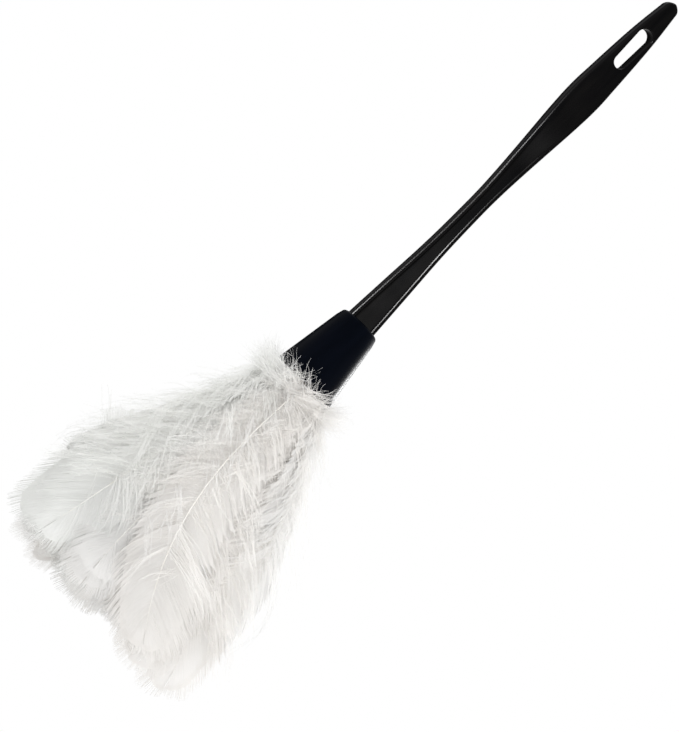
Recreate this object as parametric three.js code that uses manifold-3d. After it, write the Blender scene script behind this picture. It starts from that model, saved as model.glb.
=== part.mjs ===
// Feather duster: a flat moulded handle with a hang slot, a tapered collar, and a head of
// layered feathers bound round a short core rod inside the collar.
//
// Millimetres, +Z up. The duster hangs by its slot, tip up and feathers down. The origin is
// the point that a hook bears on: the top end of the slot, halfway through the handle.
// The handle's flat faces look along -Y and +Y, and its width runs along X.

import * as THREE from 'three';
import { mergeVertices } from 'three/addons/utils/BufferGeometryUtils.js';
import Module from 'manifold-3d';

const wasm = await Module();
wasm.setup();

// ---------------------------------------------------------------- driving dimensions

// Handle
const TIP_Z = 16.8;
const TIP_RADIUS = 3.8;
const GRIP_THICKNESS = 7.5;
const NECK_THICKNESS = 6.2;
const EDGE_RADIUS = 1.2;
const RIM_WIDTH = 1.7;
const PANEL_SLOPE = 0.5;
const PANEL_DEPTH = 0.45;
const GRIP_END = 74;
const NECK_START = 100;
const BLADE_STATIONS = 30;
// Half width of the blade against the distance below the tip.
const BLADE_OUTLINE = [
	[3.8, 3.8],
	[21, 5.8],
	[44, 7.3],
	[61, 7.85],
	[88, 6.15],
	[114, 4.55],
	[132, 4.4],
	[152, 4.9],
	[176, 6.35],
	[197, 7.6],
	[201, 7.7],
];

// Hang slot
const SLOT_LENGTH = 22;
const SLOT_TOP_RADIUS = 3.8;
const SLOT_FOOT_RADIUS = 3.2;

// Tang, which is part of the handle, and the core rod in its socket
const TANG_RADIUS = 4.2;
const TANG_TOP_Z = -183.5;
const TANG_FOOT_Z = -191;
const SOCKET_RADIUS = 2.3;
const SOCKET_TOP_Z = -176;
const ROD_RADIUS = 2.0;
const ROD_TOP_Z = -176.5;
const ROD_FOOT_Z = -250;
const ROD_CHAMFER = 0.5;

// Collar
const COLLAR_TOP_Z = -180;
const COLLAR_RIM_Z = -216;
const COLLAR_TOP_RADIUS = 9.9;
const COLLAR_RIM_RADIUS = 15.7;
const COLLAR_WALL = 1.6;
const COLLAR_ROOF = 2.2;
const COLLAR_FILLET = 1.8;
const COLLAR_CROWN = 0.6;

// Gap between neighbouring pieces
const GAP = 0.3;

// Glue ring round the tang
const GLUE_TOP_Z = -185;
const GLUE_FOOT_Z = -189.5;

// Feathers. Each layer is a ring of equal feathers on its own bell-shaped surface.
const FEATHER_LAYERS = [
	{ name: 'inner', count: 6, quillRadius: 3.4, tipRadius: 14, quillTopZ: -192.5, turn: 0.2 },
	{ name: 'second', count: 10, quillRadius: 5.7, tipRadius: 28, quillTopZ: -194, turn: 0.5 },
	{ name: 'third', count: 14, quillRadius: 8.0, tipRadius: 43, quillTopZ: -196.5, turn: 0.0 },
	{ name: 'cover', count: 16, quillRadius: 10.3, tipRadius: 58, quillTopZ: -201.5, turn: 0.5 },
];
const QUILL_WIDTH = 1.2;
const VANE_THICKNESS = 0.9;
const VANE_START = 8;
const VANE_SHARE = 0.86;
const HEAD_DEPTH = 142;
const TIP_SPREAD = 4;
const BELL_START = 8;
const BELL_POWER = 1.05;
const HEAD_FLATTENING = 0.2;

// Binding wires, one over each layer of quills
const WIRE_RADIUS = 0.25;
const WIRE_TURNS = 2;
const WIRE_PITCH = 0.9;
const WIRE_TOP_Z = -205;
const WIRE_OFFSET = 1.15;

// ---------------------------------------------------------------- materials

const handlePlastic = new THREE.MeshStandardMaterial({ color: 0x0d0d0e, roughness: 0.32 });
const collarPlastic = new THREE.MeshStandardMaterial({ color: 0x07080d, roughness: 0.5 });
const rodWood = new THREE.MeshStandardMaterial({ color: 0xb98d5a, roughness: 0.7 });
const setGlue = new THREE.MeshStandardMaterial({ color: 0xc9b98a, roughness: 0.4 });
const bindingSteel = new THREE.MeshStandardMaterial({
	color: 0x9a9a98, roughness: 0.35, metalness: 1.0,
});
const featherWhite = new THREE.MeshStandardMaterial({ color: 0xecebe8, roughness: 0.85 });

// ---------------------------------------------------------------- shape helpers

/** Closes a loft through rings of the same number of points, with a flat fan at each end. */
function loft(rings) {
	const size = rings[0].length;
	const corners = rings.flat();
	const faces = [];
	for (let k = 0; k < rings.length - 1; k++) {
		for (let i = 0; i < size; i++) {
			const j = (i + 1) % size;
			const a = k * size + i;
			const b = k * size + j;
			faces.push(a, b, b + size);
			faces.push(a, b + size, a + size);
		}
	}
	addCap(corners, faces, rings[0], 0, true);
	addCap(corners, faces, rings[rings.length - 1], (rings.length - 1) * size, false);
	const geometry = new THREE.BufferGeometry().setFromPoints(corners);
	geometry.setIndex(faces);
	return facingOut(geometry);
}

/** Adds a fan from the ring's centre over the ring whose points start at index first. */
function addCap(corners, faces, ring, first, reversed) {
	const centre = new THREE.Vector3();
	ring.forEach((p) => centre.addScaledVector(p, 1 / ring.length));
	const hub = corners.push(centre) - 1;
	for (let i = 0; i < ring.length; i++) {
		const a = first + i;
		const b = first + (i + 1) % ring.length;
		faces.push(...(reversed ? [hub, b, a] : [hub, a, b]));
	}
}

/** Turns a closed geometry's triangles over if they face inwards. */
function facingOut(geometry) {
	const p = geometry.getAttribute('position');
	const index = geometry.getIndex().array;
	const corner = [new THREE.Vector3(), new THREE.Vector3(), new THREE.Vector3()];
	let volume = 0;
	for (let i = 0; i < index.length; i += 3) {
		corner.forEach((c, k) => c.fromBufferAttribute(p, index[i + k]));
		volume += corner[0].dot(corner[1].cross(corner[2]));
	}
	if (volume < 0) {
		for (let i = 0; i < index.length; i += 3) {
			[index[i], index[i + 1]] = [index[i + 1], index[i]];
		}
	}
	return geometry;
}

function toSolid(geometry) {
	const bare = geometry.clone();
	bare.deleteAttribute('normal');
	bare.deleteAttribute('uv');
	const merged = mergeVertices(bare, 1e-4);
	return new wasm.Manifold(new wasm.Mesh({
		numProp: 3,
		vertProperties: new Float32Array(merged.getAttribute('position').array),
		triVerts: new Uint32Array(merged.getIndex().array),
	}));
}

function toGeometry(solid) {
	const mesh = solid.getMesh();
	const geometry = new THREE.BufferGeometry();
	geometry.setAttribute('position', new THREE.BufferAttribute(mesh.vertProperties, 3));
	geometry.setIndex(new THREE.BufferAttribute(mesh.triVerts, 1));
	return geometry;
}

/** A body turned about Z from a profile of [radius, height] pairs. */
function turned(profile, segments) {
	const points = profile.map(([r, z]) => new THREE.Vector2(r, z));
	return new THREE.LatheGeometry(points, segments).rotateX(Math.PI / 2);
}

/** A round bar about Z from one height up to another. */
function roundBar(radius, footZ, topZ, segments) {
	return turned([[0, footZ], [radius, footZ], [radius, topZ], [0, topZ]], segments);
}

// ---------------------------------------------------------------- handle

/** Goes smoothly from 0 at start to 1 at end. */
function fade(x, start, end) {
	return THREE.MathUtils.smoothstep(x, start, end);
}

/** One cross-section of the blade: rounded edges, and a sunk panel between raised rims. */
function bladeSection(halfWidth, halfThickness, panelDepth, z) {
	const radius = Math.min(EDGE_RADIUS, halfWidth * 0.8, halfThickness * 0.8);
	const quarter = [];
	for (const turn of [0, 0.25, 0.5, 0.75, 1]) {
		const angle = turn * Math.PI / 2;
		quarter.push([
			halfWidth - radius + radius * Math.cos(angle),
			halfThickness - radius + radius * Math.sin(angle),
		]);
	}
	const panelEdge = Math.max(halfWidth - RIM_WIDTH, halfWidth * 0.3);
	const panelFlat = Math.max(panelEdge - PANEL_SLOPE, halfWidth * 0.2);
	quarter.push([panelEdge, halfThickness]);
	quarter.push([panelFlat, halfThickness - panelDepth]);
	const mirrored = [...quarter].reverse();
	return [
		...quarter,
		...mirrored.map(([x, y]) => [-x, y]),
		...quarter.map(([x, y]) => [-x, -y]),
		...mirrored.map(([x, y]) => [x, -y]),
	].map(([x, y]) => new THREE.Vector3(x, y, z));
}

/** The blade from its round tip to the root inside the collar. */
function bladeGeometry() {
	const rings = [];
	for (const turn of [0.12, 0.3, 0.5, 0.75]) {
		const angle = turn * Math.PI / 2;
		const halfWidth = TIP_RADIUS * Math.sin(angle);
		const halfThickness = GRIP_THICKNESS / 2 * (0.6 + 0.4 * Math.sin(angle));
		const z = TIP_Z - TIP_RADIUS * (1 - Math.cos(angle));
		rings.push(bladeSection(halfWidth, halfThickness, 0, z));
	}
	const outline = new THREE.SplineCurve(BLADE_OUTLINE.map(([d, w]) => new THREE.Vector2(d, w)));
	for (const point of outline.getPoints(BLADE_STATIONS)) {
		const neck = fade(point.x, GRIP_END, NECK_START);
		const thickness = THREE.MathUtils.lerp(GRIP_THICKNESS, NECK_THICKNESS, neck);
		rings.push(bladeSection(point.y, thickness / 2, PANEL_DEPTH * neck, TIP_Z - point.x));
	}
	return loft(rings);
}

/** The long slot through the blade, round at both ends and wider at the top. */
function slotCutter() {
	const footZ = -SLOT_LENGTH + SLOT_FOOT_RADIUS;
	const shape = new THREE.Shape();
	shape.absarc(0, -SLOT_TOP_RADIUS, SLOT_TOP_RADIUS, 0, Math.PI, false);
	shape.absarc(0, footZ, SLOT_FOOT_RADIUS, Math.PI, 2 * Math.PI, false);
	shape.closePath();
	const depth = GRIP_THICKNESS * 2;
	const cutter = new THREE.ExtrudeGeometry(shape, { depth, bevelEnabled: false, curveSegments: 10 });
	return cutter.rotateX(Math.PI / 2).translate(0, depth / 2, 0);
}

function handleGeometry() {
	const tang = roundBar(TANG_RADIUS, TANG_FOOT_Z, TANG_TOP_Z, 24);
	const socket = roundBar(SOCKET_RADIUS, TANG_FOOT_Z - 1, SOCKET_TOP_Z, 20);
	return toGeometry(
		toSolid(bladeGeometry())
			.add(toSolid(tang))
			.subtract(toSolid(slotCutter()))
			.subtract(toSolid(socket)),
	);
}

// ---------------------------------------------------------------- collar, rod and glue

function collarOuterRadius(z) {
	const along = (COLLAR_TOP_Z - z) / (COLLAR_TOP_Z - COLLAR_RIM_Z);
	return THREE.MathUtils.lerp(COLLAR_TOP_RADIUS, COLLAR_RIM_RADIUS, along);
}

function collarInnerRadius(z) {
	return collarOuterRadius(z) - COLLAR_WALL;
}

/** A tapered shell with a slightly crowned roof, open below. */
function collarGeometry() {
	const ceilingZ = COLLAR_TOP_Z - COLLAR_ROOF;
	const shoulder = COLLAR_TOP_RADIUS - COLLAR_FILLET;
	const profile = [
		[0, COLLAR_TOP_Z + COLLAR_CROWN],
		[shoulder * 0.6, COLLAR_TOP_Z + COLLAR_CROWN * 0.7],
	];
	for (const turn of [0, 0.25, 0.5, 0.75]) {
		const angle = turn * Math.PI / 2;
		profile.push([
			shoulder + COLLAR_FILLET * Math.sin(angle),
			COLLAR_TOP_Z - COLLAR_FILLET * (1 - Math.cos(angle)),
		]);
	}
	const filletFootZ = COLLAR_TOP_Z - COLLAR_FILLET;
	const rimEdge = COLLAR_WALL / 3;
	profile.push(
		[collarOuterRadius(filletFootZ), filletFootZ],
		[collarOuterRadius(COLLAR_RIM_Z + rimEdge), COLLAR_RIM_Z + rimEdge],
		[COLLAR_RIM_RADIUS - rimEdge, COLLAR_RIM_Z],
		[COLLAR_RIM_RADIUS - COLLAR_WALL, COLLAR_RIM_Z],
		[collarInnerRadius(ceilingZ), ceilingZ],
		[0, ceilingZ],
	);
	const opening = new THREE.BoxGeometry(
		2 * (BLADE_OUTLINE.at(-1)[1] + GAP),
		NECK_THICKNESS + 2 * GAP,
		4 * COLLAR_ROOF,
	).translate(0, 0, COLLAR_TOP_Z);
	const shell = turned(profile.reverse(), 40);
	return toGeometry(toSolid(shell).subtract(toSolid(opening)));
}

function rodGeometry() {
	return turned([
		[0, ROD_FOOT_Z],
		[ROD_RADIUS - ROD_CHAMFER, ROD_FOOT_Z],
		[ROD_RADIUS, ROD_FOOT_Z + ROD_CHAMFER],
		[ROD_RADIUS, ROD_TOP_Z - ROD_CHAMFER],
		[ROD_RADIUS - ROD_CHAMFER, ROD_TOP_Z],
		[0, ROD_TOP_Z],
	], 16);
}

function glueGeometry() {
	const inside = TANG_RADIUS + GAP;
	return turned([
		[inside, GLUE_FOOT_Z],
		[collarInnerRadius(GLUE_FOOT_Z) - GAP, GLUE_FOOT_Z],
		[collarInnerRadius(GLUE_TOP_Z) - GAP, GLUE_TOP_Z],
		[inside, GLUE_TOP_Z],
		[inside, GLUE_FOOT_Z],
	], 24);
}

// ---------------------------------------------------------------- feathers

/** How far a layer's bell has opened at a depth below the collar's rim, from 0 to 1. */
function bellOpening(depth) {
	const along = (depth + BELL_START) / (HEAD_DEPTH + BELL_START);
	return Math.max(along, 0) ** BELL_POWER;
}

/** A feather is a thin closed blade that keeps to its own sector of its layer's bell. */
function featherGeometry(layer, number) {
	const sector = 2 * Math.PI / layer.count;
	const middle = (number + layer.turn) * sector;
	const tipDepth = HEAD_DEPTH - TIP_SPREAD + TIP_SPREAD * Math.sin(2.4 * number + layer.count);
	const depths = [COLLAR_RIM_Z - layer.quillTopZ, -BELL_START, VANE_START];
	for (const share of [0.14, 0.34, 0.56, 0.76, 0.9, 0.97, 1]) {
		depths.push(THREE.MathUtils.lerp(VANE_START, tipDepth, share));
	}
	const rings = depths.map((depth) => {
		const opening = bellOpening(depth);
		const radius = THREE.MathUtils.lerp(layer.quillRadius, layer.tipRadius, opening);
		const vane = fade(depth, 0, 3 * VANE_START);
		const rounding = Math.sqrt(Math.max(1 - (depth / (tipDepth + 1)) ** 12, 0));
		const full = VANE_SHARE * sector * radius * rounding;
		const width = THREE.MathUtils.lerp(QUILL_WIDTH, Math.max(full, QUILL_WIDTH), vane);
		const thickness = THREE.MathUtils.lerp(QUILL_WIDTH, VANE_THICKNESS, vane);
		const flattening = 1 - HEAD_FLATTENING * opening;
		const halfAngle = width / (2 * radius);
		return [[-1, 0], [-0.5, 1], [0.5, 1], [1, 0], [0.5, -1], [-0.5, -1]].map(([across, out]) => {
			const angle = middle + across * halfAngle;
			const r = radius + out * thickness / 2;
			const y = r * Math.sin(angle) * flattening;
			return new THREE.Vector3(r * Math.cos(angle), y, COLLAR_RIM_Z - depth);
		});
	});
	return loft(rings);
}

// ---------------------------------------------------------------- binding wires

class Helix extends THREE.Curve {
	constructor(radius, turns, pitch, topZ) {
		super();
		Object.assign(this, { radius, turns, pitch, topZ });
	}

	getPoint(t, target = new THREE.Vector3()) {
		const angle = t * this.turns * 2 * Math.PI;
		return target.set(
			this.radius * Math.cos(angle),
			this.radius * Math.sin(angle),
			this.topZ - t * this.turns * this.pitch,
		);
	}
}

/** A few turns of wire round the quills of one layer. */
function wireGeometry(layer) {
	const radius = layer.quillRadius + WIRE_OFFSET;
	const section = new THREE.Shape().absarc(0, 0, WIRE_RADIUS, 0, 2 * Math.PI, false);
	return new THREE.ExtrudeGeometry(section, {
		extrudePath: new Helix(radius, WIRE_TURNS, WIRE_PITCH, WIRE_TOP_Z),
		steps: WIRE_TURNS * Math.round(12 + 1.3 * radius),
		curveSegments: 3,
		bevelEnabled: false,
	});
}

// ---------------------------------------------------------------- assembly

function named(name, geometry, material) {
	const mesh = new THREE.Mesh(geometry, material);
	mesh.name = name;
	return mesh;
}

const duster = new THREE.Group();
duster.add(
	named('handle', handleGeometry(), handlePlastic),
	named('collar', collarGeometry(), collarPlastic),
	named('core_rod', rodGeometry(), rodWood),
	named('glue_ring', glueGeometry(), setGlue),
);
for (const layer of FEATHER_LAYERS) {
	duster.add(named(`wire_${layer.name}`, wireGeometry(layer), bindingSteel));
	for (let i = 0; i < layer.count; i++) {
		const name = `feather_${layer.name}_${String(i + 1).padStart(2, '0')}`;
		duster.add(named(name, featherGeometry(layer, i), featherWhite));
	}
}

export default duster;
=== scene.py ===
import math

import bmesh
import bpy
import numpy as np
from mathutils import Matrix, Vector


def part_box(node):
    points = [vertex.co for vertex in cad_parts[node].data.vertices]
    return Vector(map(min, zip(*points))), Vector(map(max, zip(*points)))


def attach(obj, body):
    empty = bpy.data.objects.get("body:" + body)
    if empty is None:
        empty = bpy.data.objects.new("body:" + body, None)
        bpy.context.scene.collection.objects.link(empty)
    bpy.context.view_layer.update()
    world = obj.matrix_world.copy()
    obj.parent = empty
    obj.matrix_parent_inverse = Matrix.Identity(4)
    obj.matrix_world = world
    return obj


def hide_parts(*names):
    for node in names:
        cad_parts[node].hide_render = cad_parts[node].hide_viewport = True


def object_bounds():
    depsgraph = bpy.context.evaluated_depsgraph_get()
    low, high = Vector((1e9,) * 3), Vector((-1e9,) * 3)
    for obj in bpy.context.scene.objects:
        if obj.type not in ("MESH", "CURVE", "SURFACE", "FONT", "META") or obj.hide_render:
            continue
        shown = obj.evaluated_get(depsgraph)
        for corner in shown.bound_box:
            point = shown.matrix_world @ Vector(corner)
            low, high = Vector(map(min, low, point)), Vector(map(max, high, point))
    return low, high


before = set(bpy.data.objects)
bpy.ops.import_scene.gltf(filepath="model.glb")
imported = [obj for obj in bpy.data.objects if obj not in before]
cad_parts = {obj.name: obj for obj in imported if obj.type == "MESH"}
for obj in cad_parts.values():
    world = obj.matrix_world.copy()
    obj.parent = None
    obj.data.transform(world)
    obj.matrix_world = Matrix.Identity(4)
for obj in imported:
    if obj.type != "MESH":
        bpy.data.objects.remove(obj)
cad_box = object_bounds()
MM = 0.001

# ---------------------------------------------------------------- places read from the frame

HANDLE_LOW, HANDLE_HIGH = (Vector(c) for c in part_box("handle"))
COLLAR_LOW, COLLAR_HIGH = (Vector(c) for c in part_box("collar"))
RIM_Z = COLLAR_LOW.z
TIP_Z = HANDLE_HIGH.z
RIM_RADIUS = COLLAR_HIGH.x

# ---------------------------------------------------------------- camera, lights and floor

# Metres and radians. LEAN tips the picture so that the handle points to its upper right.
CAMERA_AZIMUTH = math.radians(-18)
CAMERA_ELEVATION = math.radians(-5)
LEAN = math.radians(45.6)
CAMERA_DISTANCE = 1.2
VIEW_HEIGHT = 0.3152
SENSOR = 36.0
AIM_BELOW_ORIGIN = 0.1994
AIM_TO_RIGHT = 0.0061
CLIP_START = 0.01
FILL_LIGHT = 1.16
CARD_AZIMUTH = math.radians(95)
CARD_EDGE = (math.radians(24), math.radians(32))
CARD_LEVEL = 0.04
FLOOR_HALF_WIDTH = 1.5
FLOOR_BELOW_CAD = 0.45
FLOOR_GREY = (0.2, 0.2, 0.2, 1)
FLOOR_GLOW = 0.9
WHITE = (1, 1, 1, 1)


def camera_axes():
    """The upright camera's right, up and backward directions at the viewing angle."""
    a, e = CAMERA_AZIMUTH, CAMERA_ELEVATION
    right = Vector((math.cos(a), math.sin(a), 0))
    back = Vector((math.sin(a) * math.cos(e), -math.cos(a) * math.cos(e), math.sin(e)))
    return right, back.cross(right), back


def add_camera():
    """Looks at the duster so that its handle leans to the picture's upper right."""
    right, up, back = camera_axes()
    aim = Vector((0, 0, -AIM_BELOW_ORIGIN)) + right * AIM_TO_RIGHT
    across = up * math.cos(LEAN) + right * math.sin(LEAN)
    above = up * math.sin(LEAN) - right * math.cos(LEAN)
    data = bpy.data.cameras.new("camera")
    data.sensor_width = SENSOR
    data.lens = SENSOR * CAMERA_DISTANCE / VIEW_HEIGHT
    data.clip_start = CLIP_START
    camera = bpy.data.objects.new("camera", data)
    place = Matrix((across, above, back)).transposed().to_4x4()
    place.translation = aim + back * CAMERA_DISTANCE
    camera.matrix_world = place
    bpy.context.scene.collection.objects.link(camera)
    bpy.context.scene.camera = camera


def add_area_light(name, place, aim, size, power, height=None, lit=None):
    """A soft light of size by height; lit is the collection it shines on, or None for all."""
    data = bpy.data.lights.new(name, "AREA")
    data.shape = "RECTANGLE"
    data.size = size
    data.size_y = height or size
    data.energy = power
    light = bpy.data.objects.new(name, data)
    light.location = place
    light.visible_camera = False
    light.rotation_euler = (Vector(aim) - Vector(place)).to_track_quat("-Z", "Y").to_euler()
    bpy.context.scene.collection.objects.link(light)
    if lit:
        light.light_linking.receiver_collection = lit


def add_world():
    """Even studio light, seen as plain white behind the object, with a dark card behind it.

    The card is what the black plastic mirrors along its outline; the camera doesn't see it."""
    world = bpy.data.worlds.new("studio")
    world.use_nodes = True
    nodes, links = world.node_tree.nodes, world.node_tree.links
    nodes.clear()
    path = nodes.new("ShaderNodeLightPath")
    seen = nodes.new("ShaderNodeBackground")
    seen.inputs["Strength"].default_value = 1.0
    seen.inputs["Color"].default_value = WHITE
    place = nodes.new("ShaderNodeTexCoord")
    towards_card = nodes.new("ShaderNodeVectorMath")
    towards_card.operation = "DOT_PRODUCT"
    towards_card.inputs[1].default_value = (math.cos(CARD_AZIMUTH), math.sin(CARD_AZIMUTH), 0)
    links.new(place.outputs["Generated"], towards_card.inputs[0])
    level = ramp(world.node_tree, towards_card.outputs["Value"], [
        (math.cos(CARD_EDGE[1]), 1.0), (math.cos(CARD_EDGE[0]), CARD_LEVEL),
    ])
    fill = nodes.new("ShaderNodeBackground")
    fill.inputs["Strength"].default_value = FILL_LIGHT
    links.new(level, fill.inputs["Color"])
    mix = nodes.new("ShaderNodeMixShader")
    out = nodes.new("ShaderNodeOutputWorld")
    links.new(path.outputs["Is Camera Ray"], mix.inputs["Fac"])
    links.new(fill.outputs[0], mix.inputs[1])
    links.new(seen.outputs[0], mix.inputs[2])
    links.new(mix.outputs[0], out.inputs["Surface"])
    bpy.context.scene.world = world


def add_floor():
    """A pale floor well under the duster. It glows evenly, and matt surfaces don't see it."""
    size, z = FLOOR_HALF_WIDTH, cad_box[0][2] - FLOOR_BELOW_CAD
    mesh = bpy.data.meshes.new("floor")
    corners = [(-size, -size, z), (size, -size, z), (size, size, z), (-size, size, z)]
    mesh.from_pydata(corners, [], [(0, 1, 2, 3)])
    floor = bpy.data.objects.new("floor", mesh)
    bpy.context.scene.collection.objects.link(floor)
    material, _, shader = new_material("floor_pale")
    shader.inputs["Base Color"].default_value = FLOOR_GREY
    shader.inputs["Roughness"].default_value = 1.0
    shader.inputs["Specular IOR Level"].default_value = 0.0
    shader.inputs["Emission Color"].default_value = WHITE
    shader.inputs["Emission Strength"].default_value = FLOOR_GLOW
    mesh.materials.append(material)
    floor.visible_diffuse = False
    floor.visible_transmission = False


# ---------------------------------------------------------------- materials

SKIN_RELIEF = 0.00005
LET_THROUGH = 0.45


def new_material(name):
    """A material with nodes, with its node tree and its Principled shader."""
    material = bpy.data.materials.new(name)
    material.use_nodes = True
    shader = material.node_tree.nodes["Principled BSDF"]
    return material, material.node_tree, shader


def noise(tree, scale, detail, stretch=(1, 1, 1)):
    """Noise in the object's own metres, stretched along an axis where asked."""
    place = tree.nodes.new("ShaderNodeTexCoord")
    mapping = tree.nodes.new("ShaderNodeMapping")
    mapping.inputs["Scale"].default_value = stretch
    texture = tree.nodes.new("ShaderNodeTexNoise")
    texture.inputs["Scale"].default_value = scale
    texture.inputs["Detail"].default_value = detail
    tree.links.new(place.outputs["Object"], mapping.inputs["Vector"])
    tree.links.new(mapping.outputs["Vector"], texture.inputs["Vector"])
    return texture.outputs["Fac"]


def ramp(tree, factor, stops):
    """A colour ramp from pairs of position and grey level or colour."""
    node = tree.nodes.new("ShaderNodeValToRGB")
    while len(node.color_ramp.elements) < len(stops):
        node.color_ramp.elements.new(0.5)
    for element, (position, value) in zip(node.color_ramp.elements, stops):
        colour = (value,) * 3 if isinstance(value, float) else value
        element.position = position
        element.color = (*colour, 1)
    tree.links.new(factor, node.inputs["Fac"])
    return node.outputs["Color"]


def bump(tree, shader, height, strength, distance):
    """Raises the shader's surface by height, up to a distance in metres."""
    node = tree.nodes.new("ShaderNodeBump")
    node.inputs["Strength"].default_value = strength
    node.inputs["Distance"].default_value = distance
    tree.links.new(height, node.inputs["Height"])
    tree.links.new(node.outputs["Normal"], shader.inputs["Normal"])


def moulded_plastic(name, dark, light, roughness, gloss, grain):
    """Black moulded plastic: faint flow streaks along Z, uneven gloss, and a fine skin."""
    material, tree, shader = new_material(name)
    streaks = noise(tree, 260, 4.0, (1, 1, 0.12))
    tree.links.new(ramp(tree, streaks, [(0.3, dark), (0.7, light)]), shader.inputs["Base Color"])
    patches = noise(tree, 90, 3.0)
    low, high = roughness
    tree.links.new(ramp(tree, patches, [(0.3, low), (0.7, high)]), shader.inputs["Roughness"])
    shader.inputs["Specular IOR Level"].default_value = gloss
    bump(tree, shader, noise(tree, 1400, 2.0), grain, SKIN_RELIEF)
    return material


def feather_material(name, bright, shaded):
    """Feather keratin: matt white, letting some light through, with faint cloudy tones."""
    material, tree, shader = new_material(name)
    clouds = ramp(tree, noise(tree, 70, 2.0), [(0.35, shaded), (0.65, bright)])
    tree.links.new(clouds, shader.inputs["Base Color"])
    shader.inputs["Roughness"].default_value = 0.7
    shader.inputs["Specular IOR Level"].default_value = 0.2
    through = tree.nodes.new("ShaderNodeBsdfTranslucent")
    tree.links.new(clouds, through.inputs["Color"])
    mix = tree.nodes.new("ShaderNodeMixShader")
    mix.inputs["Fac"].default_value = LET_THROUGH
    out = tree.nodes["Material Output"]
    tree.links.new(shader.outputs[0], mix.inputs[1])
    tree.links.new(through.outputs[0], mix.inputs[2])
    tree.links.new(mix.outputs[0], out.inputs["Surface"])
    return material


def quill_material():
    """Horny quill: ivory, smooth and slightly glossy, warmer in patches."""
    material, tree, shader = new_material("quill_ivory")
    tone = noise(tree, 300, 2.0)
    tree.links.new(
        ramp(tree, tone, [(0.3, (0.86, 0.83, 0.77)), (0.7, (0.93, 0.92, 0.89))]),
        shader.inputs["Base Color"],
    )
    shader.inputs["Roughness"].default_value = 0.35
    return material


def wood_material():
    """Birch dowel, with grain along Z."""
    material, tree, shader = new_material("birch")
    grain = noise(tree, 500, 4.0, (1, 1, 0.06))
    tree.links.new(
        ramp(tree, grain, [(0.3, (0.33, 0.19, 0.09)), (0.7, (0.55, 0.36, 0.19))]),
        shader.inputs["Base Color"],
    )
    shader.inputs["Roughness"].default_value = 0.7
    bump(tree, shader, grain, 0.4, 0.0001)
    return material


def glue_material():
    """Set amber glue, lumpy and a little glossy."""
    material, tree, shader = new_material("amber_glue")
    lumps = noise(tree, 400, 2.0)
    tree.links.new(
        ramp(tree, lumps, [(0.3, (0.5, 0.4, 0.2)), (0.7, (0.66, 0.58, 0.36))]),
        shader.inputs["Base Color"],
    )
    shader.inputs["Roughness"].default_value = 0.3
    bump(tree, shader, lumps, 0.6, 0.0004)
    return material


def wire_material():
    """Dull grey annealed wire, finely scratched."""
    material, tree, shader = new_material("annealed_wire")
    scratches = noise(tree, 1500, 3.0)
    shader.inputs["Metallic"].default_value = 1.0
    tree.links.new(
        ramp(tree, scratches, [(0.3, 0.42), (0.7, 0.66)]),
        shader.inputs["Base Color"],
    )
    shader.inputs["Roughness"].default_value = 0.35
    return material


# ---------------------------------------------------------------- mesh helpers


def mesh_object(name, corners, quads, triangles):
    """A smooth mesh object from arrays of corners, four-sided faces and three-sided faces."""
    mesh = bpy.data.meshes.new(name)
    quads = np.asarray(quads, np.int32).reshape(-1, 4)
    triangles = np.asarray(triangles, np.int32).reshape(-1, 3)
    corners = np.asarray(corners, np.float32).reshape(-1, 3)
    mesh.vertices.add(len(corners))
    mesh.vertices.foreach_set("co", corners.ravel())
    loops = np.concatenate([quads.ravel(), triangles.ravel()])
    mesh.loops.add(len(loops))
    mesh.loops.foreach_set("vertex_index", loops)
    starts = np.concatenate([
        np.arange(len(quads)) * 4,
        len(quads) * 4 + np.arange(len(triangles)) * 3,
    ])
    mesh.polygons.add(len(starts))
    mesh.polygons.foreach_set("loop_start", starts.astype(np.int32))
    mesh.polygons.foreach_set("use_smooth", np.ones(len(starts), bool))
    mesh.update(calc_edges=True)
    piece = bpy.data.objects.new(name, mesh)
    bpy.context.scene.collection.objects.link(piece)
    return piece


def loft_faces(count, size):
    """Quads between successive rings, for count rings of size points each."""
    ring, point = np.meshgrid(np.arange(count - 1), np.arange(size), indexing="ij")
    nxt = (point + 1) % size
    a, b = ring * size + point, ring * size + nxt
    return np.stack([a, b, b + size, a + size], axis=-1).reshape(-1, 4)


def lofted(name, rings):
    """A closed body through rings of points, capped by a fan at each end."""
    count, size = rings.shape[:2]
    corners = np.concatenate([
        rings.reshape(-1, 3), rings[:1].mean(axis=1), rings[-1:].mean(axis=1),
    ])
    point = np.arange(size)
    nxt = (point + 1) % size
    hub = np.full(size, count * size)
    first = np.stack([hub, nxt, point], axis=-1)
    last_ring = (count - 1) * size
    last = np.stack([hub + 1, point, nxt], axis=-1) + [0, last_ring, last_ring]
    piece = mesh_object(name, corners, loft_faces(count, size), np.concatenate([first, last]))
    face_outward(piece)
    return piece


def face_outward(piece):
    """Turns every face of a closed piece to look out of it."""
    work = bmesh.new()
    work.from_mesh(piece.data)
    bmesh.ops.recalc_face_normals(work, faces=work.faces)
    work.to_mesh(piece.data)
    work.free()


def cut(piece, cutter):
    """Takes the cutter's volume out of the piece and deletes the cutter."""
    modifier = piece.modifiers.new("cut", "BOOLEAN")
    modifier.operation = "DIFFERENCE"
    modifier.solver = "EXACT"
    modifier.object = cutter
    bpy.context.view_layer.update()
    graph = bpy.context.evaluated_depsgraph_get()
    result = bpy.data.meshes.new_from_object(piece.evaluated_get(graph))
    piece.modifiers.clear()
    piece.data = result
    bpy.data.objects.remove(cutter)


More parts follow.
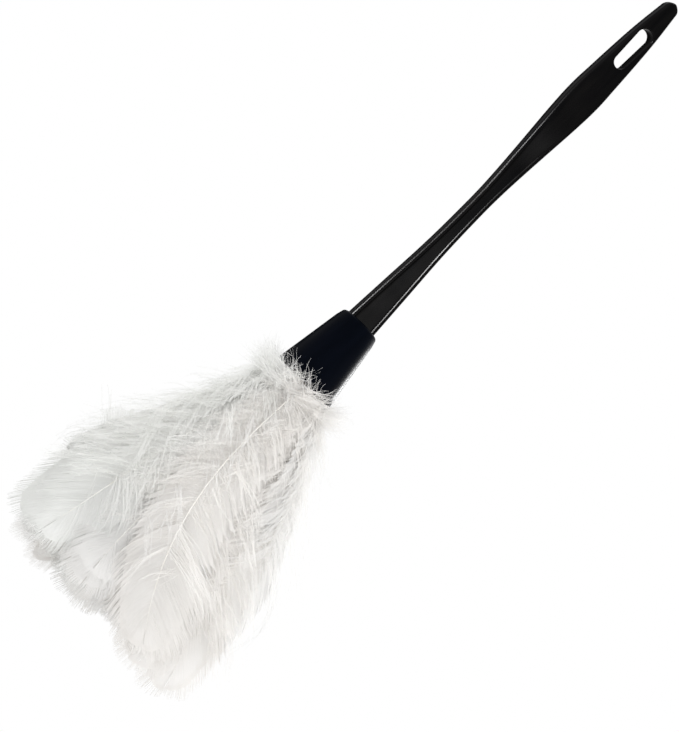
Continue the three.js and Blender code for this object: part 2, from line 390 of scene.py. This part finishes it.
def finish_piece(piece, material, node, crease):
    """Gives a piece its material, hides the CAD node it stands for, and fixes it to the body.

    Edges that turn by more than crease degrees stay sharp."""
    piece.data.materials.clear()
    piece.data.materials.append(material)
    piece.data.polygons.foreach_set("use_smooth", np.ones(len(piece.data.polygons), bool))
    piece.data.set_sharp_from_angle(angle=math.radians(crease))
    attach(piece, "root")
    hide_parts(node)


def catmull_rom(points, count):
    """The spline through points, as count + 1 points evenly spaced in its parameter."""
    points = np.asarray(points, float)
    t = np.linspace(0, len(points) - 1, count + 1)
    i = np.clip(t.astype(int), 0, len(points) - 2)
    f = (t - i)[:, None]
    p0 = points[np.maximum(i - 1, 0)]
    p1, p2 = points[i], points[i + 1]
    p3 = points[np.minimum(i + 2, len(points) - 1)]
    return 0.5 * (
        2 * p1 + (p2 - p0) * f + (2 * p0 - 5 * p1 + 4 * p2 - p3) * f**2
        + (3 * p1 - p0 - 3 * p2 + p3) * f**3
    )


def full_turn(count):
    """The angles of count points evenly spaced round a circle."""
    return np.linspace(0, 2 * math.pi, count + 1)[:-1]


def smoothstep(x, start, end):
    """Rises smoothly from 0 at start to 1 at end."""
    t = np.clip((x - start) / (end - start), 0, 1)
    return t * t * (3 - 2 * t)


# ---------------------------------------------------------------- handle

# Millimetres. BLADE_OUTLINE pairs a depth below the handle's tip with the half width there.
TIP_RADIUS = 3.8
GRIP_THICKNESS = 7.5
NECK_THICKNESS = 6.2
EDGE_RADIUS = 1.6
RIM_WIDTH = 1.9
PANEL_SLOPE = 0.7
SIDE_CROWN = 0.25
PANEL_DEPTH = 0.45
GRIP_END = 74
NECK_START = 100
SLOT_LENGTH = 22
SLOT_TOP_RADIUS = 3.8
SLOT_FOOT_RADIUS = 3.2
SLOT_EDGE = 0.5
TANG_RADIUS = 4.2
TANG_CHAMFER = 0.5
TANG_OVERLAP = 0.3
HANDLE_CREASE = 38
OUTLINE_STEPS = 120
TIP_RINGS = 10
WALL_POINTS = 4
EDGE_POINTS = 10
SLOPE_POINTS = 6
SLOT_POINTS = 25
TANG_POINTS = 32
BLADE_OUTLINE = [
    (3.8, 3.8), (21, 5.8), (44, 7.3), (61, 7.85), (88, 6.15), (114, 4.55),
    (132, 4.4), (152, 4.9), (176, 6.35), (197, 7.6), (201, 7.7),
]


def blade_section(half_width, half_thickness, depth, z):
    """One ring of the blade: rounded edges, and a sunk panel inside raised rims.

    Where the blade is narrow, each feature shrinks to a share of its half width."""
    radius = min(EDGE_RADIUS, half_width * 0.85, half_thickness * 0.85)
    angle = np.linspace(0, math.pi / 2, EDGE_POINTS)
    wall = np.linspace(0, 1, WALL_POINTS)[:-1]
    crown = min(SIDE_CROWN, half_width * 0.1)
    x = np.concatenate([
        half_width - crown * wall**2,
        half_width - crown - radius + radius * np.cos(angle),
    ])
    y = np.concatenate([
        (half_thickness - radius) * wall,
        half_thickness - radius + radius * np.sin(angle),
    ])
    edge = max(half_width - RIM_WIDTH, half_width * 0.3)
    flat = max(edge - PANEL_SLOPE, half_width * 0.2)
    turn = np.linspace(0, 1, SLOPE_POINTS)
    x = np.concatenate([x, edge + (flat - edge) * turn, [flat * 0.6, flat * 0.25]])
    fall = np.concatenate([smoothstep(turn, 0, 1), [1, 1]])
    y = np.concatenate([y, half_thickness - depth * fall])
    quarter = np.stack([x, y], axis=-1)
    mirrored = quarter[:0:-1]
    ring = np.concatenate([
        quarter, mirrored * [-1, 1], quarter * [-1, -1], mirrored * [1, -1],
    ])
    return np.concatenate([ring, np.full((len(ring), 1), z)], axis=1)


def blade_rings():
    """The blade's rings from its rounded tip down to its foot, thinner at the neck."""
    tip = TIP_Z / MM
    rings = []
    for turn in np.linspace(0.1, 0.97, TIP_RINGS):
        angle = turn * math.pi / 2
        half_thickness = GRIP_THICKNESS / 2 * (0.6 + 0.4 * math.sin(angle))
        z = tip - TIP_RADIUS * (1 - math.cos(angle))
        rings.append(blade_section(TIP_RADIUS * math.sin(angle), half_thickness, 0, z))
    for below, half_width in catmull_rom(BLADE_OUTLINE, OUTLINE_STEPS):
        neck = smoothstep(below, GRIP_END, NECK_START)
        thickness = GRIP_THICKNESS + (NECK_THICKNESS - GRIP_THICKNESS) * neck
        rings.append(blade_section(half_width, thickness / 2, PANEL_DEPTH * neck, tip - below))
    return np.array(rings) * MM


def slot_cutter():
    """The slot's volume, opening out at both faces so that its edges come out rounded."""
    foot = -SLOT_LENGTH + SLOT_FOOT_RADIUS
    half = GRIP_THICKNESS / 2
    rings = []
    turns = np.linspace(math.pi / 2, 0, 6)
    levels = [(-half - 1, SLOT_EDGE * 1.6)]
    levels += [
        (-half + SLOT_EDGE * (1 - math.sin(a)), SLOT_EDGE * (1 - math.cos(a))) for a in turns
    ]
    levels += [(-y, grow) for y, grow in reversed(levels)]
    for y, grow in levels:
        top = np.linspace(0, math.pi, SLOT_POINTS)
        ring = [((SLOT_TOP_RADIUS + grow) * np.cos(top),
                 -SLOT_TOP_RADIUS + (SLOT_TOP_RADIUS + grow) * np.sin(top))]
        low = top + math.pi
        ring.append(((SLOT_FOOT_RADIUS + grow) * np.cos(low),
                     foot + (SLOT_FOOT_RADIUS + grow) * np.sin(low)))
        x, z = np.concatenate(ring, axis=1)
        rings.append(np.stack([x, np.full(len(x), y), z], axis=-1))
    return lofted("slot_cutter", np.array(rings) * MM)


def add_handle(material):
    """The blade with its hang slot, and the round tang that goes into the collar."""
    handle = lofted("handle_blade", blade_rings())
    cut(handle, slot_cutter())
    finish_piece(handle, material, "handle", HANDLE_CREASE)
    angle = full_turn(TANG_POINTS)
    circle = np.stack([np.cos(angle), np.sin(angle)], axis=-1) * TANG_RADIUS
    blade_foot, tang_foot = TIP_Z / MM - BLADE_OUTLINE[-1][0], HANDLE_LOW.z / MM
    rings = [
        np.concatenate([circle * share, np.full((len(circle), 1), z)], axis=1)
        for z, share in (
            (blade_foot + TANG_OVERLAP, 1), (tang_foot + TANG_CHAMFER, 1), (tang_foot, 0.88),
        )
    ]
    tang = lofted("handle_tang", np.array(rings) * MM)
    finish_piece(tang, material, "handle", HANDLE_CREASE)
    return handle, tang


# ---------------------------------------------------------------- collar

# Millimetres.
COLLAR_TOP_Z = -180.0
COLLAR_TOP_RADIUS = 9.9
COLLAR_WALL = 1.6
COLLAR_ROOF = 2.2
COLLAR_FILLET = 1.8
COLLAR_CROWN = 0.6
COLLAR_CREASE = 35
COLLAR_POINTS = 128
CENTRE_RADIUS = 0.3
GAP = 0.25


def add_collar(material):
    """A tapered shell with a rounded shoulder and rim, and the blade's opening in its roof."""
    rim_z, rim_radius = RIM_Z / MM, RIM_RADIUS / MM
    slope = (rim_radius - COLLAR_TOP_RADIUS) / (COLLAR_TOP_Z - rim_z)
    ceiling = COLLAR_TOP_Z - COLLAR_ROOF
    shoulder = COLLAR_TOP_RADIUS - COLLAR_FILLET
    angle = np.linspace(0, math.pi / 2 - math.atan(slope), 12)
    profile = [(r, COLLAR_TOP_Z + COLLAR_CROWN * (1 - (r / shoulder) ** 2))
               for r in np.linspace(CENTRE_RADIUS, shoulder * 0.96, 8)]
    profile += [(shoulder + COLLAR_FILLET * math.sin(a),
                 COLLAR_TOP_Z - COLLAR_FILLET * (1 - math.cos(a))) for a in angle]
    profile += [(COLLAR_TOP_RADIUS + slope * (COLLAR_TOP_Z - z), z)
                for z in np.linspace(COLLAR_TOP_Z - 4, rim_z + 0.6, 10)]
    lip = COLLAR_WALL / 2
    profile += [(rim_radius - lip + lip * math.cos(a), rim_z + lip * (1 - math.sin(a)) * 0.8)
                for a in np.linspace(0.2, math.pi - 0.2, 9)]
    profile += [(rim_radius - COLLAR_WALL - slope * 2, rim_z + 2),
                (COLLAR_TOP_RADIUS - COLLAR_WALL + slope * COLLAR_ROOF, ceiling),
                (CENTRE_RADIUS, ceiling)]
    turn = full_turn(COLLAR_POINTS)
    rings = np.array([
        np.stack([r * np.cos(turn), r * np.sin(turn), np.full(len(turn), z)], axis=-1)
        for r, z in profile
    ]) * MM
    collar = lofted("collar_shell", rings)
    half_x, half_y = BLADE_OUTLINE[-1][1] + GAP, NECK_THICKNESS / 2 + GAP
    section = blade_section(half_x, half_y, 0, 0)
    opening = np.array([section + [0, 0, COLLAR_TOP_Z + h] for h in (-5, 5)]) * MM
    cut(collar, lofted("collar_cutter", opening))
    finish_piece(collar, material, "collar", COLLAR_CREASE)
    return collar


# ---------------------------------------------------------------- feathers

# Sizes of one feather, in metres and radians. A barb's angle is measured from the quill
# towards the tip, and its rise out of the vane's plane. CAMBER is a curvature per metre,
# DOWN_SHARE and LAST_SPLIT are shares of a length, and KNIT and FREE count a barb's steps.
# A LOCK_SPREAD says how much locks differ in lean, rise and length.
PATH_STEPS = 80
VANE_START = 0.0015
DOWN_SHARE = 0.64
CAMBER = 7.0
QUILL_RADIUS = 0.00026
QUILL_TIP_RADIUS = 0.00009
QUILL_SUNK = 0.0009
DOWN_PITCH = 0.00055
DOWN_WIDTH = 0.00024
DOWN_STEPS = 8
DOWN_LOCK = 0.004
DOWN_LOCK_SPREAD = (0.11, 0.26, 0.12)
BARBULE_LENGTH = 0.0019
BARBULE_WIDTH = 0.00009
RIM_BARBS = 115
RIM_SPIKES = 36
RIM_BARBULE_LENGTH = BARBULE_LENGTH * 0.42
RIM_BARBULE_WIDTH = BARBULE_WIDTH * 0.8
WEB_PITCH = 0.0009
WEB_STREAK = 0.00012
WEB_SUNK = 0.0018
VANE_PITCH = 0.00042
VANE_STEPS = 8
VANE_LOCK = 0.017
VANE_LOCK_SPREAD = (0.007, 0.012, 0.03)
VANE_STREAK = 0.00008
KNIT = 5
FREE = 6
LAST_SPLIT = 0.4
RIB_WIDTH = 0.0002
RIB_LIFT = 0.00012
LOCK_COUNT = 90
QUILL_RINGS = 44
QUILL_POINTS = 8
AIM_POWER = 2.6
FRONT_POWER = 0.6
POSE_SEED = 900
FEATHER_SEED = 100
DOWN_SIZES = {"inner": 0.75, "second": 0.85, "third": 0.95, "cover": 1.0}
SPIKES = {"inner": 20, "second": 34, "third": 56, "cover": 96}


def centre_line(node):
    """The middle of the CAD blade from its quill end to its tip, one point per level."""
    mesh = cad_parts[node].data
    points = np.empty(len(mesh.vertices) * 3)
    mesh.vertices.foreach_get("co", points)
    points = points.reshape(-1, 3)
    levels = np.unique(points[:, 2].round(6))[::-1]
    return np.array([points[np.abs(points[:, 2] - z) < 2e-6].mean(axis=0) for z in levels])


def unit(vectors):
    """The vectors made one long."""
    return vectors / np.maximum(np.linalg.norm(vectors, axis=-1, keepdims=True), 1e-12)


# Rightwards in the upright picture, and level towards the photographed side.
SHOWN_RIGHT, _, SHOWN_SIDE = (np.array(v) for v in camera_axes())
SHOWN_SIDE = unit(SHOWN_SIDE * [1, 1, 0])


class Quill:
    """A feather's quill line, with the directions across and out of its vane along it.

    aim moves the tip, bow and front bend the middle right and towards the photographed side,
    and face turns the vane's outer side from straight outward (0) to that side (1). full and
    wide scale the down and the vane left and right of the quill, web is how far the down's
    underlayer reaches along its barbs, down is the share of the length that is downy, and sunk
    hides the quill in its down."""

    def __init__(self, node, aim, bow=0.0, front=0.0, face=0.0, twist=0.0, curl=0.0,
                 full=(1, 1), wide=(1, 1), web=(0.52, 0.76), down=DOWN_SHARE, sunk=True):
        path = catmull_rom(centre_line(node), PATH_STEPS)
        share = np.clip((RIM_Z - path[:, 2]) / (RIM_Z - path[-1, 2]), 0, 1)[:, None]
        path = path + np.asarray(aim) * share**AIM_POWER + SHOWN_RIGHT * bow * np.sin(np.pi * share)
        path = path + SHOWN_SIDE * front * np.sin(np.pi * share) ** FRONT_POWER
        arc = np.concatenate([[0], np.cumsum(np.linalg.norm(np.diff(path, axis=0), axis=1))])
        self.s = arc - np.interp(-RIM_Z, -path[:, 2], arc)
        self.length = self.s[-1]
        tangent = unit(np.gradient(path, self.s, axis=0))
        outer = unit(unit(path * [1, 1, 0]) * (1 - face * share) + SHOWN_SIDE * face * share)
        out = unit(outer - tangent * (outer * tangent).sum(-1, keepdims=True))
        across = np.cross(out, tangent)
        turn = twist + curl * share
        self.across = across * np.cos(turn) + out * np.sin(turn)
        self.out = out * np.cos(turn) - across * np.sin(turn)
        self.tangent = tangent
        self.path = path
        self.full = full
        self.wide = wide
        self.down = down
        self.web = web
        self.sunk = sunk

    def at(self, values, s):
        """Values along the quill at s."""
        return np.stack([np.interp(s, self.s, values[:, k]) for k in range(3)], axis=-1)

    def place(self, curves):
        """Points from (across, along, out of the vane); past the tip the quill runs straight on."""
        u, s, w = np.moveaxis(curves, -1, 0)
        past = np.maximum(s - self.length, 0)[..., None]
        w = w - CAMBER * u**2
        return (
            self.at(self.path, s) + self.tangent[-1] * past
            + self.at(self.across, s) * u[..., None] + self.at(self.out, s) * w[..., None]
        )


class Locks:
    """Neighbouring barbs that cling together: each lock leans, rises and ends its own way."""

    def __init__(self, rng, size, lean, rise, uneven):
        self.edges = np.cumsum(rng.uniform(0.5, 1.5, LOCK_COUNT)) * size
        self.lean = rng.normal(0, lean, LOCK_COUNT + 1)
        self.rise = rng.normal(0, rise, LOCK_COUNT + 1)
        self.size = rng.uniform(1 - uneven, 1 + uneven, LOCK_COUNT + 1)

    def of(self, start):
        """The number of the lock that each barb belongs to."""
        return np.searchsorted(self.edges, start)


class Faces:
    """Corners, four-sided faces and triangles gathered for one mesh."""

    def __init__(self):
        self.corners, self.quads, self.triangles = [], [], []
        self.total = 0

    def add(self, corners, faces):
        (self.quads if faces.shape[1] == 4 else self.triangles).append(faces + self.total)
        self.corners.append(corners)
        self.total += len(corners)


def grow(rng, start, side, length, angle, rise, wave, steps):
    """Barbs as curves in the feather's own coordinates: across, along, out of the vane.

    angle and rise are pairs of arrays, at the barb's root and at its end."""
    count = len(start)
    t = (np.arange(steps) + 0.5) / steps
    phase = rng.uniform(0, 2 * np.pi, (2, count, 1))
    rate = rng.uniform(0.5, 1.3, (2, count, 1))
    waves = wave[:, None] * np.sin(2 * np.pi * rate * t + phase) * t
    theta = angle[0][:, None] + (angle[1] - angle[0])[:, None] * t**0.8 + waves[0]
    psi = rise[0][:, None] + (rise[1] - rise[0])[:, None] * t + waves[1] * 1.5
    step = (length / steps)[:, None]
    moves = np.stack([
        side * np.sin(theta) * np.cos(psi) * step,
        np.cos(theta) * step,
        np.sin(theta) * np.sin(psi) * step,
    ], axis=-1)
    curve = np.concatenate([np.zeros((count, 1, 3)), np.cumsum(moves, axis=1)], axis=1)
    curve[:, :, 1] += start[:, None]
    return curve


def ribbons(paths, widths, facing):
    """Flat strips along paths, as corners and quads; facing is the way their faces look."""
    tangent = unit(np.gradient(paths, axis=1))
    side = unit(np.cross(tangent, facing)) * (np.asarray(widths) / 2)[:, None]
    corners = np.stack([paths - side, paths + side], axis=2)
    count, steps = paths.shape[:2]
    first = (np.arange(count)[:, None] * steps + np.arange(steps - 1)) * 2
    quads = np.stack([first, first + 2, first + 3, first + 1], axis=-1)
    return corners.reshape(-1, 3), quads.reshape(-1, 4)


def web(paths, lock):
    """A thin skin between neighbouring barbs of one lock."""
    steps = paths.shape[1]
    joined = np.flatnonzero(lock[1:] == lock[:-1])
    first = joined[:, None] * steps + np.arange(steps - 1)
    quads = np.stack([first, first + 1, first + steps + 1, first + steps], axis=-1)
    return paths.reshape(-1, 3), quads.reshape(-1, 4)


def barbules(rng, paths, per_barb, length, width):
    """Thin spikes off both sides of each barb, as corners and triangles."""
    count, steps = paths.shape[:2]
    t = (np.arange(per_barb) + rng.uniform(0.1, 0.9, (count, per_barb))) / per_barb
    place = t * (steps - 1)
    low = np.minimum(place.astype(int), steps - 2)
    part = (place - low)[..., None]
    row = np.arange(count)[:, None]
    a, b = paths[row, low], paths[row, low + 1]
    root = a + (b - a) * part
    tangent = unit(b - a)
    side = unit(np.cross(tangent, rng.normal(size=root.shape)))
    lean = rng.uniform(0.5, 1.1, (count, per_barb, 1))
    size = (length * np.interp(t, [0, 0.15, 0.5, 1], [0.6, 1, 0.8, 0.25]))[..., None]
    size = size * rng.uniform(0.6, 1.25, size.shape)
    end = root + (tangent * np.cos(lean) + side * np.sin(lean)) * size
    corners = np.stack([root, root + tangent * width, end], axis=2)
    triangles = np.arange(count * per_barb * 3).reshape(-1, 3)
    return corners.reshape(-1, 3), triangles


def down_curves(rng, quill, locks, side, start, stray, size):
    """Fluffy barbs of one side; stray is how far each leaves the feather's even spread."""
    lock = locks.of(start)
    share = np.clip(start / quill.length, 0, 1)
    length = np.interp(share, [0, 0.1, 0.3, 0.6, 0.75], [14, 21, 28, 31, 29]) * MM * size
    length = length * quill.full[side > 0] * locks.size[lock] ** stray
    length = length * (1 + stray * rng.uniform(-0.22, 0.03, len(start)))
    off = rng.normal(0, 0.12, (4, len(start))) * stray
    lean, lift = locks.lean[lock] * stray, locks.rise[lock] * stray
    angle = (1.25 - 0.25 * share + lean + off[0], 0.66 - 0.1 * share + lean + off[1])
    rise = (0.16 + lift + 1.2 * off[2], -0.1 + lift + 1.5 * off[3])
    wave = rng.uniform(0.1, 0.3, len(start)) * stray
    curves = grow(rng, start, side, length, angle, rise, wave, DOWN_STEPS)
    if quill.sunk:
        curves[:, :, 0] -= side * QUILL_SUNK * 1.3
        curves[:, :, 2] += QUILL_SUNK
    return curves


def rim_curves(rng, count):
    """Short down at the foot of a cover feather that stands out over the collar's rim."""
    start = rng.uniform(0.0012, 0.010, count)
    side = rng.choice([-1.0, 1.0], (count, 1))
    length = rng.uniform(0.008, 0.02, count)
    angle = (rng.uniform(1.1, 1.7, count), rng.uniform(1.2, 2.6, count))
    rise = (rng.uniform(0.5, 1.3, count), rng.uniform(0.2, 1.0, count))
    wave = rng.uniform(0.1, 0.4, count)
    return grow(rng, start, side, length, angle, rise, wave, DOWN_STEPS)


def vane_curves(rng, quill, locks, side, start, begin, stray):
    """Close smooth barbs of one side of the flat vane, parted here and there by splits."""
    lock = locks.of(start)
    share = (start - begin) / (quill.length - begin)
    length = np.interp(share, [0, 0.35, 0.7, 0.9, 1], [31, 29, 25, 17, 10]) * MM
    length = length * quill.wide[side > 0] * locks.size[lock]
    length = length * (1 + stray * rng.uniform(-0.06, 0.05, len(start)))
    off = rng.normal(0, 0.05, (4, len(start))) * np.interp(share, [0, 0.3, 1], [1, 0.45, 0.4])
    off = off * stray
    lean, lift = locks.lean[lock], locks.rise[lock]
    angle = (
        np.interp(share, [0, 0.5, 0.85, 1], [0.98, 0.8, 0.6, 0.0]) + off[0] * 0.3,
        np.interp(share, [0, 0.5, 0.85, 1], [0.5, 0.42, 0.32, -0.04]) + lean + off[1],
    )
    rise = (0 * lift, lift * 1.5 + off[3])
    return grow(rng, start, side, length, angle, rise, np.zeros(len(start)), VANE_STEPS)


def add_down(rng, quill, faces, end, size, spikes):
    """One side after the other: a thin soft underlayer, then separate barbs with barbules."""
    taper = np.linspace(1, 0.55, DOWN_STEPS + 1) * DOWN_WIDTH
    for side in (-1.0, 1.0):
        locks = Locks(rng, DOWN_LOCK, *DOWN_LOCK_SPREAD)
        rows = np.arange(VANE_START, end, WEB_PITCH)
        reach = rng.uniform(*quill.web, len(rows))
        curves = down_curves(rng, quill, locks, side, rows, 0.0, size * reach)
        streak = rng.normal(0, WEB_STREAK, (len(rows), 1)) * np.linspace(0.2, 1, DOWN_STEPS + 1)
        curves[:, :, 2] += streak - WEB_SUNK
        faces.add(*web(quill.place(curves), np.zeros(len(rows))))
        start = np.arange(VANE_START, end * 1.06, DOWN_PITCH)
        start = start + rng.normal(0, DOWN_PITCH / 3, len(start))
        paths = quill.place(down_curves(rng, quill, locks, side, start, 1.0, size))
        faces.add(*ribbons(paths, taper, rng.normal(size=3)))
        faces.add(*barbules(rng, paths, spikes, BARBULE_LENGTH, BARBULE_WIDTH))


def add_rim_down(rng, quill, faces):
    """The down that stands out over the collar's rim, with shorter barbules."""
    paths = quill.place(rim_curves(rng, RIM_BARBS))
    taper = np.linspace(1, 0.3, DOWN_STEPS + 1) * DOWN_WIDTH
    faces.add(*ribbons(paths, taper, rng.normal(size=3)))
    faces.add(*barbules(rng, paths, RIM_SPIKES, RIM_BARBULE_LENGTH, RIM_BARBULE_WIDTH))


def add_vane(rng, quill, faces, begin):
    """A web of knit barbs, split towards its edge, with fine ribs and a fringe of free ends."""
    for side in (-1.0, 1.0):
        locks = Locks(rng, VANE_LOCK, *VANE_LOCK_SPREAD)
        start = np.arange(begin, quill.length - 0.0003, VANE_PITCH)
        curves = vane_curves(rng, quill, locks, side, start, begin, 0.0)
        curves[:, :, 2] += rng.normal(0, VANE_STREAK, (len(start), 1))
        paths = quill.place(curves)
        faces.add(*web(paths[:, :KNIT + 1], np.zeros(len(start))))
        last_split = begin + LAST_SPLIT * (quill.length - begin)
        faces.add(*web(paths[:, KNIT:FREE + 1], locks.of(np.minimum(start, last_split))))
        curves = vane_curves(rng, quill, locks, side, start, begin, 1.0)
        out = quill.at(quill.out, np.minimum(curves[..., 1], quill.length))
        paths = quill.place(curves) + out * RIB_LIFT
        taper = np.linspace(1, 0.6, VANE_STEPS + 1) * RIB_WIDTH
        faces.add(*ribbons(paths[::3], taper, out[::3]))
        taper = np.linspace(1, 0.3, VANE_STEPS + 2 - FREE) * VANE_PITCH
        faces.add(*ribbons(paths[:, FREE - 1:], taper, out[:, FREE - 1:]))


def quill_tube(quill):
    """The quill as a tapering tube from inside the collar to the tip."""
    keep = np.linspace(0, len(quill.s) - 1, QUILL_RINGS).astype(int)
    share = np.clip(quill.s[keep] / quill.length, 0, 1)
    radius = QUILL_RADIUS * (1 - share) ** 0.7 + QUILL_TIP_RADIUS
    turn = full_turn(QUILL_POINTS)
    ring = quill.across[keep][:, None] * np.cos(turn)[:, None]
    ring = ring + quill.out[keep][:, None] * np.sin(turn)[:, None]
    return quill.path[keep][:, None] + ring * radius[:, None, None]


def add_feather(node, materials, seed, quill):
    """One whole feather that stands for its CAD blade: quill, down and vane."""
    rng = np.random.default_rng(seed)
    layer = node.split("_")[1]
    faces = Faces()
    rings = quill_tube(quill)
    faces.add(rings.reshape(-1, 3), loft_faces(*rings.shape[:2]))
    quill_faces = len(faces.quads[0])
    begin = quill.length * quill.down
    add_down(rng, quill, faces, begin * 1.1, DOWN_SIZES[layer], SPIKES[layer])
    if layer == "cover":
        add_rim_down(rng, quill, faces)
    vane_start = sum(map(len, faces.quads))
    add_vane(rng, quill, faces, begin)
    vane_end = sum(map(len, faces.quads))
    piece = mesh_object(
        node.replace("feather", "plume"),
        np.concatenate(faces.corners),
        np.concatenate(faces.quads),
        np.concatenate(faces.triangles),
    )
    for material in materials:
        piece.data.materials.append(material)
    slots = np.zeros(len(piece.data.polygons), np.int32)
    slots[:quill_faces] = 1
    slots[vane_start:vane_end] = 2
    piece.data.polygons.foreach_set("material_index", slots)
    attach(piece, "root")
    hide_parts(node)


# The cover feathers on the photographed side. A tip is given in millimetres as how far right
# of the axis, how far in front of it, and how far below the collar's rim.
SHOWN = {
    "feather_cover_07": {"tip": (-43, -14, 80), "face": 0.5, "full": (1.18, 1.2),
                         "web": (0.7, 0.97), "down": 0.8, "tone": 2},
    "feather_cover_08": {"tip": (-40, 8, 86), "face": 0.6, "bow": -5, "full": (1.12, 1.15),
                         "web": (0.7, 0.97), "down": 0.76, "tone": 2},
    "feather_cover_09": {"tip": (-42, 24, 115), "face": 0.7, "bow": -2.5,
                         "web": (0.62, 0.9), "tone": 2},
    "feather_cover_10": {"tip": (-33, 34, 114), "face": 0.8, "bow": -2, "tone": 2},
    "feather_cover_11": {"tip": (-8, 36, 118), "face": 0.8, "front": -1.5, "tone": 0},
    "feather_cover_12": {"tip": (25, 40, 121), "face": 0.9, "bow": -4.5, "front": 2.5,
                         "full": (1.0, 1.2), "wide": (1.0, 1.15), "web": (0.6, 0.85),
                         "sunk": False, "tone": 1},
    "feather_cover_13": {"tip": (31, 32, 127), "face": 0.8, "bow": 2, "front": -1.5, "tone": 1},
    "feather_cover_14": {"tip": (46, 24, 127), "face": 0.75, "bow": 4, "full": (1, 1.15),
                         "wide": (1, 0.85), "web": (0.6, 0.85), "down": 0.7, "tone": 1},
    "feather_cover_15": {"tip": (40, 16, 104), "face": 0.7, "bow": 9, "full": (1, 1.02),
                         "wide": (1, 0.8), "web": (0.7, 0.97), "down": 0.82, "tone": 0},
    "feather_cover_16": {"tip": (44, 0, 90), "face": 0.5, "bow": 9, "full": (1.1, 1.3),
                         "wide": (1, 0.9), "web": (0.7, 0.97), "down": 0.85, "tone": 0},
}


def shown_pose(node):
    """The pose of a named feather, its tip's place turned into a move of the CAD tip."""
    pose = dict(SHOWN[node])
    right, front, drop = np.array(pose.pop("tip")) * MM
    tip = SHOWN_RIGHT * right + SHOWN_SIDE * front + [0, 0, RIM_Z - drop]
    pose["aim"] = tip - centre_line(node)[-1]
    pose["bow"] = pose.get("bow", 0) * MM
    pose["front"] = pose.get("front", 0) * MM
    return pose


def loose_pose(rng, node):
    """A pose for any other feather: its tip strays a little and its vane turns either way."""
    x, y, _ = centre_line(node)[-1]
    outward = unit(np.array([x, y, 0]))
    aside = np.array([-outward[1], outward[0], 0])
    aim = aside * rng.normal(0, 6) + outward * rng.normal(-1.5, 2)
    return {
        "aim": (aim + [0, 0, rng.uniform(15, 25)]) * MM,
        "twist": rng.normal(0, 0.3),
        "curl": rng.normal(0, 0.35),
        "tone": rng.integers(3),
    }


def add_feathers():
    """All feathers, each in its own pose and one of three tones."""
    quill_ivory = quill_material()
    down_tones = [
        feather_material("down_bright", (0.97, 0.965, 0.955), (0.94, 0.935, 0.925)),
        feather_material("down_warm", (0.97, 0.957, 0.94), (0.94, 0.925, 0.905)),
        feather_material("down_cool", (0.965, 0.966, 0.952), (0.935, 0.937, 0.92)),
    ]
    vane_tones = [
        feather_material("vane_bright", (0.92, 0.915, 0.905), (0.87, 0.865, 0.855)),
        feather_material("vane_warm", (0.92, 0.907, 0.89), (0.87, 0.855, 0.835)),
        feather_material("vane_cool", (0.91, 0.915, 0.9), (0.86, 0.865, 0.85)),
    ]
    nodes = sorted(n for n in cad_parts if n.startswith("feather_"))
    for number, node in enumerate(nodes):
        rng = np.random.default_rng(POSE_SEED + number)
        pose = shown_pose(node) if node in SHOWN else loose_pose(rng, node)
        tone = pose.pop("tone")
        materials = [down_tones[tone], quill_ivory, vane_tones[tone]]
        add_feather(node, materials, FEATHER_SEED + number, Quill(node, **pose))


# ---------------------------------------------------------------- the whole scene


def dress_node(node, material):
    """Gives a CAD node that stays as it is its finish."""
    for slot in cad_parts[node].material_slots:
        slot.material = material


bpy.context.scene.view_settings.view_transform = "Standard"
add_camera()
add_world()
add_floor()
handle_pieces = add_handle(moulded_plastic(
    "black_gloss_plastic", dark=(0.0002, 0.0002, 0.0003), light=(0.001, 0.0009, 0.0009),
    roughness=(0.17, 0.25), gloss=0.026, grain=0.005,
))
collar_piece = add_collar(moulded_plastic(
    "black_satin_plastic", dark=(0.0004, 0.001, 0.0028), light=(0.001, 0.0018, 0.0044),
    roughness=(0.3, 0.4), gloss=0.02, grain=0.06,
))
handle_alone = bpy.data.collections.new("handle_alone")
for piece in handle_pieces:
    handle_alone.objects.link(piece)
collar_alone = bpy.data.collections.new("collar_alone")
collar_alone.objects.link(collar_piece)
add_area_light("key", (0.3, -0.97, -0.83), (0, 0, -0.3), size=0.5, power=6.2)
add_area_light(
    "edge_strip", (-0.72, -0.34, -0.085), (0, 0, -0.108),
    size=0.45, power=56, height=0.08, lit=handle_alone,
)
add_area_light(
    "panel", (0.26, -0.8, -0.065), (0, 0, -0.135),
    size=0.4, power=1.1, height=0.13, lit=handle_alone,
)
add_area_light(
    "collar_edge", (0.75, 0.5, -0.16), (0, 0, -0.207),
    size=0.3, power=14, height=0.2, lit=collar_alone,
)
add_area_light(
    "collar_side", (0.77, -0.64, -0.14), (0, 0, -0.207),
    size=0.5, power=0.8, height=0.2, lit=collar_alone,
)
dress_node("core_rod", wood_material())
dress_node("glue_ring", glue_material())
binding = wire_material()
for layer in ("inner", "second", "third", "cover"):
    dress_node(f"wire_{layer}", binding)
add_feathers()
